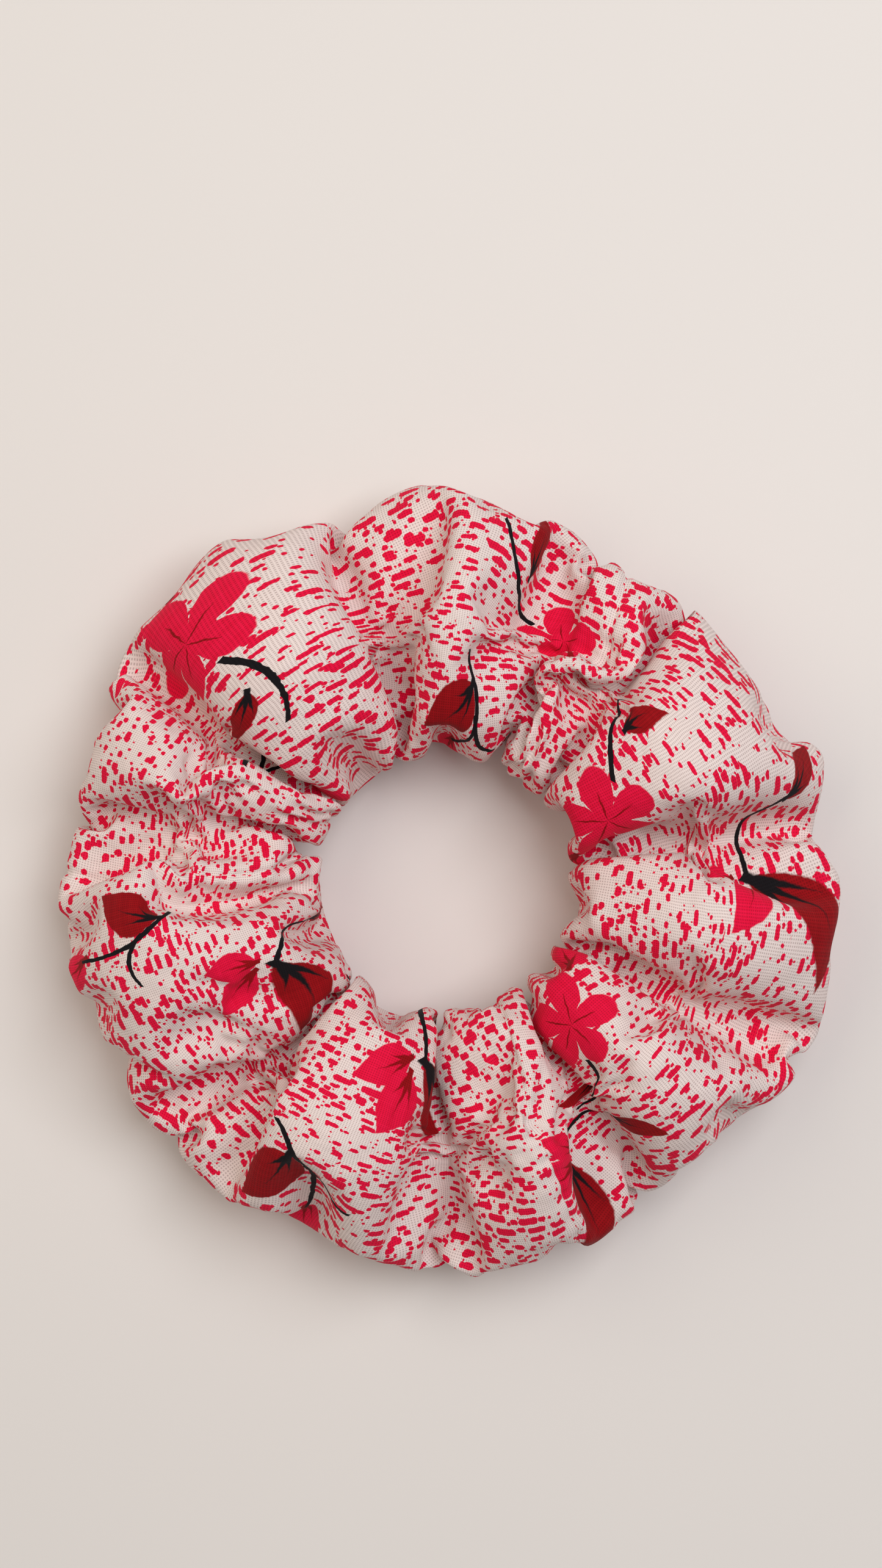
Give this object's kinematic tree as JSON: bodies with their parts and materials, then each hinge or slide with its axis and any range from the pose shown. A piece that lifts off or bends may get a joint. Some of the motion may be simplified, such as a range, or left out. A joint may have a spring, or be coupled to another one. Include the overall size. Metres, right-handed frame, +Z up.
{
  "type": "scrunchie",
  "caption": "Gathered printed-cotton hair scrunchie: sewn cloth tube over a flat elastic loop, whose whole ring stretches open.",
  "frame": {"origin": "centre of the hair opening, on the flat surface that the ring lies on", "axes": "+Z up along the axis of the hair opening; +Y away from a person who looks at the ring with its closing seam nearest, towards -Y"},
  "size_m": [0.122, 0.122, 0.032],
  "materials": {
    "printed_cotton": "matt plain weave with a printed pattern",
    "braided_elastic": "matt white braid over rubber strands",
    "sewing_thread": "matt spun polyester thread"
  },
  "bodies": {
    "closing_start": {"panel_a_length_1": "printed_cotton", "elastic_length_0": "braided_elastic", "side_thread_0": "sewing_thread", "closing_seam_thread": "sewing_thread"},
    "ring_part_1": {"panel_a_length_2": "printed_cotton", "elastic_end_inner": "braided_elastic", "elastic_end_outer": "braided_elastic", "elastic_zigzag": "sewing_thread", "side_thread_1": "sewing_thread"},
    "ring_part_2": {"panel_a_length_3": "printed_cotton", "elastic_length_2": "braided_elastic", "side_thread_2": "sewing_thread"},
    "ring_part_3": {"panel_a_length_4": "printed_cotton", "panel_b_length_1": "printed_cotton", "elastic_length_3": "braided_elastic", "side_thread_3": "sewing_thread", "first_seam_thread": "sewing_thread"},
    "ring_part_4": {"panel_b_length_2": "printed_cotton", "elastic_length_4": "braided_elastic", "side_thread_4": "sewing_thread"},
    "ring_part_5": {"panel_b_length_3": "printed_cotton", "elastic_length_5": "braided_elastic", "side_thread_5": "sewing_thread"},
    "ring_part_6": {"panel_b_length_4": "printed_cotton", "panel_c_length_1": "printed_cotton", "elastic_length_6": "braided_elastic", "side_thread_6": "sewing_thread", "second_seam_thread": "sewing_thread"},
    "ring_part_7": {"panel_c_length_2": "printed_cotton", "elastic_length_7": "braided_elastic", "side_thread_7": "sewing_thread"},
    "ring_part_8": {"panel_c_length_3": "printed_cotton", "elastic_length_8": "braided_elastic", "side_thread_8": "sewing_thread"},
    "closing_end": {"panel_c_length_4": "printed_cotton", "elastic_length_9": "braided_elastic", "side_thread_9": "sewing_thread"}
  },
  "joints": [
    {"name": "opening_stretch", "type": "slide", "parent": "closing_start", "child": "ring_part_1", "axis": [0.7687, 0.6397, 0], "range_m": [0, 0.02196], "stiffness_N_per_m": 264.1},
    {"name": "ring_stretch_2", "type": "slide", "parent": "ring_part_1", "child": "ring_part_2", "axis": [0.1167, 0.9932, 0], "range_m": [0, 0.02196], "stiffness_N_per_m": 264.1},
    {"name": "ring_stretch_3", "type": "slide", "parent": "ring_part_2", "child": "ring_part_3", "axis": [-0.5995, 0.8004, 0], "range_m": [0, 0.02196], "stiffness_N_per_m": 264.1},
    {"name": "ring_stretch_4", "type": "slide", "parent": "ring_part_3", "child": "ring_part_4", "axis": [-0.9811, 0.1937, 0], "range_m": [0, 0.02048], "stiffness_N_per_m": 283.2},
    {"name": "ring_stretch_5", "type": "slide", "parent": "ring_part_4", "child": "ring_part_5", "axis": [-0.8721, -0.4894, 0], "range_m": [0, 0.02048], "stiffness_N_per_m": 283.2},
    {"name": "ring_stretch_6", "type": "slide", "parent": "ring_part_5", "child": "ring_part_6", "axis": [-0.3458, -0.9383, 0], "range_m": [0, 0.02048], "stiffness_N_per_m": 283.2},
    {"name": "ring_stretch_7", "type": "slide", "parent": "ring_part_6", "child": "ring_part_7", "axis": [0.309, -0.9511, 0], "range_m": [0, 0.0183], "stiffness_N_per_m": 317},
    {"name": "ring_stretch_8", "type": "slide", "parent": "ring_part_7", "child": "ring_part_8", "axis": [0.809, -0.5878, 0], "range_m": [0, 0.0183], "stiffness_N_per_m": 317},
    {"name": "ring_stretch_9", "type": "slide", "parent": "ring_part_8", "child": "closing_end", "axis": [1, 0, 0], "range_m": [0, 0.0183], "stiffness_N_per_m": 317}
  ],
  "couplings": [
    {"joint": "ring_stretch_2", "follows": "opening_stretch", "ratio": 1},
    {"joint": "ring_stretch_3", "follows": "opening_stretch", "ratio": 1},
    {"joint": "ring_stretch_4", "follows": "opening_stretch", "ratio": 0.93263},
    {"joint": "ring_stretch_5", "follows": "opening_stretch", "ratio": 0.93263},
    {"joint": "ring_stretch_6", "follows": "opening_stretch", "ratio": 0.93263},
    {"joint": "ring_stretch_7", "follows": "opening_stretch", "ratio": 0.83332},
    {"joint": "ring_stretch_8", "follows": "opening_stretch", "ratio": 0.83332},
    {"joint": "ring_stretch_9", "follows": "opening_stretch", "ratio": 0.83332}
  ]
}
